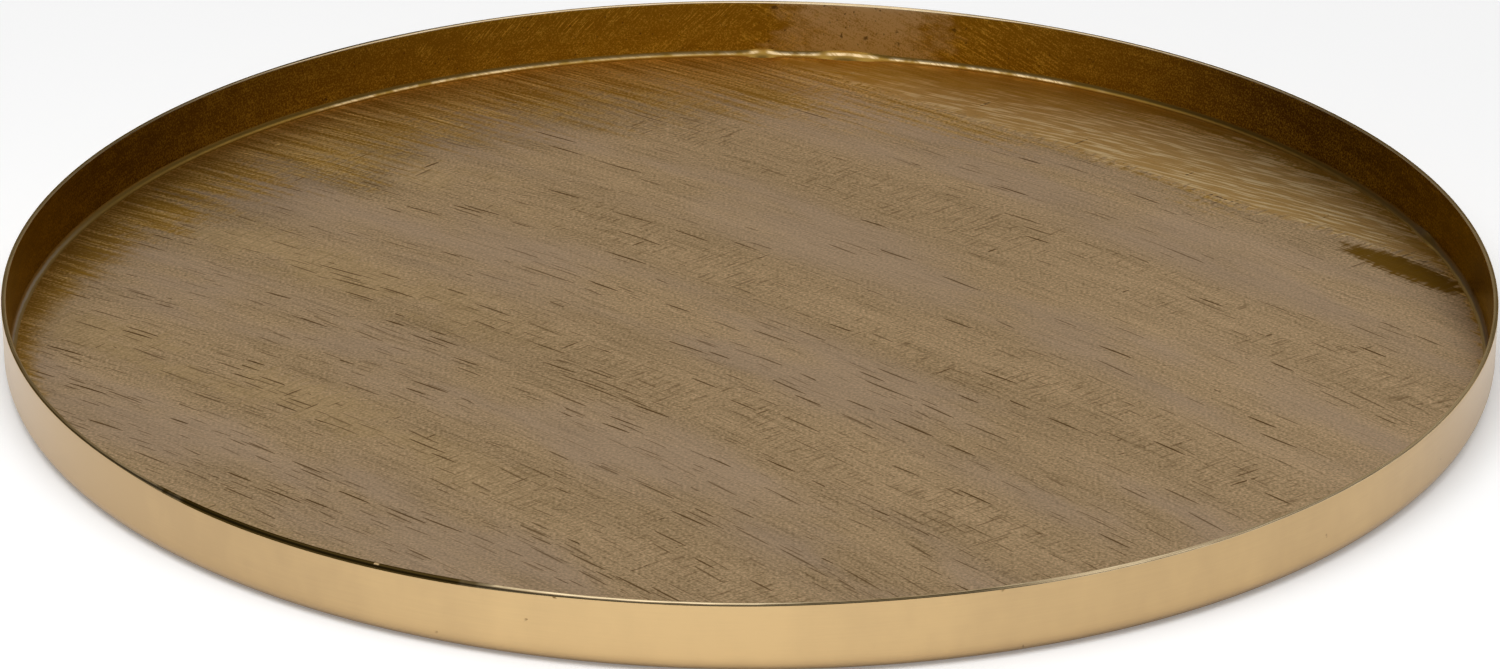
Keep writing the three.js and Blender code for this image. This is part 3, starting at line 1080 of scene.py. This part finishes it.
# Outer corner weld: brass weld metal that fills the open corner between disc and hoop outside. It is
# ground to one round edge with them and has the hoop's satin finish.

WELD_STEPS = 6
weld_outline = ground_edge(EDGE_ANGLE_AT_DISC, EDGE_ANGLE_AT_HOOP, WELD_STEPS)
weld_outline += [(WALL_INNER, HOOP_FOOT), (DISC_RADIUS, FLOOR_TOP)]


def weld_section_at(azimuth):
    return weld_outline


weld_sides = [0] * len(weld_outline)
weld_mesh = turned_mesh(
    "outer_corner_weld_ground", weld_section_at, weld_sides, full_turn(HOOP_TURNS), True
)
add_piece(weld_mesh, "outer_corner_weld", [satin_outside])

# Studio: a pale matt floor without end, and soft light from above and from low round about, with dimmer
# walls between them. A lamp over the front of the tray shows in no reflection. Lengths are in metres.

FLOOR_REACH = 60.0
FLOOR_PALE = (0.93, 0.93, 0.93, 1.0)
FLOOR_GLOW = 0.18
FLOOR_MATT = 0.9
WHITE = (1.0, 1.0, 1.0, 1.0)
SIDE_LIGHT = 0.18
BACK_LIGHT = 0.38
HORIZON_LIGHT = (math.radians(11), math.radians(3), 0.0, 0.80)
OVERHEAD_LIGHT = (math.radians(38), math.radians(62), 0.0, 1.45)
LAMP_PLACE = (-0.10, -0.42, 0.50)
LAMP_SIZE = 0.4
LAMP_POWER = 1.4

floor_mesh = bpy.data.meshes.new("studio_floor")
corners = [(-1, -1), (1, -1), (1, 1), (-1, 1)]
floor_places = [(FLOOR_REACH * x, FLOOR_REACH * y, 0.0) for x, y in corners]
floor_mesh.from_pydata(floor_places, [], [(0, 1, 2, 3)])
studio_floor = bpy.data.objects.new("studio_floor", floor_mesh)
bpy.context.scene.collection.objects.link(studio_floor)
floor_finish = bpy.data.materials.new("studio_floor")
floor_finish.use_nodes = True
floor_shader = floor_finish.node_tree.nodes["Principled BSDF"]
floor_shader.inputs["Base Color"].default_value = FLOOR_PALE
floor_shader.inputs["Roughness"].default_value = FLOOR_MATT
floor_shader.inputs["Specular IOR Level"].default_value = 0.0
floor_shader.inputs["Emission Strength"].default_value = FLOOR_GLOW
floor_mesh.materials.append(floor_finish)

world = bpy.data.worlds.new("studio_light")
bpy.context.scene.world = world
world.use_nodes = True
sky = world.node_tree
background = sky.nodes["Background"]
background.inputs["Color"].default_value = WHITE
looking = sky.nodes.new("ShaderNodeTexCoord")
split = sky.nodes.new("ShaderNodeSeparateXYZ")
plug(split.inputs[0], Field(looking.outputs["Generated"]))
sky_x, sky_y, sky_z = [Field(socket) for socket in split.outputs]
elevation = maths("ARCSINE", sky_z)
facing = sky_y * sky_y / maths("MAXIMUM", sky_x * sky_x + sky_y * sky_y, TINY)
walls = part_way((SIDE_LIGHT, BACK_LIGHT), facing * facing)
light = strongest(walls, ramp(elevation, *HORIZON_LIGHT), ramp(elevation, *OVERHEAD_LIGHT))
plug(background.inputs["Strength"], light)

lamp_data = bpy.data.lights.new("front_lamp", "AREA")
lamp_data.shape = "DISK"
lamp_data.size = LAMP_SIZE
lamp_data.energy = LAMP_POWER
lamp = bpy.data.objects.new("front_lamp", lamp_data)
bpy.context.scene.collection.objects.link(lamp)
lamp.location = LAMP_PLACE
lamp.visible_glossy = False

# Camera: a long lens in front of the tray, at the height from which its floor shows as a wide oval.
# It looks close to the middle of the tray, and is turned by a trace about its own line of sight.

CAMERA_DISTANCE = 1.400
CAMERA_ELEVATION = math.radians(24.283)
CAMERA_TILT = math.radians(24.368)
CAMERA_ROLL = math.radians(0.142)
LENS_PIXELS = 5176.4
IMAGE_WIDTH = 1500
SENSOR_WIDTH = 36.0
CAMERA_SIGHT = 200.0
camera_data = bpy.data.cameras.new("photo_camera")
camera_data.sensor_width = SENSOR_WIDTH
camera_data.lens = SENSOR_WIDTH * LENS_PIXELS / IMAGE_WIDTH
camera_data.clip_end = CAMERA_SIGHT
camera = bpy.data.objects.new("photo_camera", camera_data)
bpy.context.scene.collection.objects.link(camera)
camera.location = (
    0.0,
    -CAMERA_DISTANCE * math.cos(CAMERA_ELEVATION),
    CAMERA_DISTANCE * math.sin(CAMERA_ELEVATION),
)
tilted = Euler((math.pi / 2 - CAMERA_TILT, 0.0, 0.0)).to_matrix()
camera.rotation_euler = (tilted @ Matrix.Rotation(CAMERA_ROLL, 3, "Z")).to_euler()
bpy.context.scene.camera = camera
bpy.context.scene.view_settings.view_transform = "Standard"
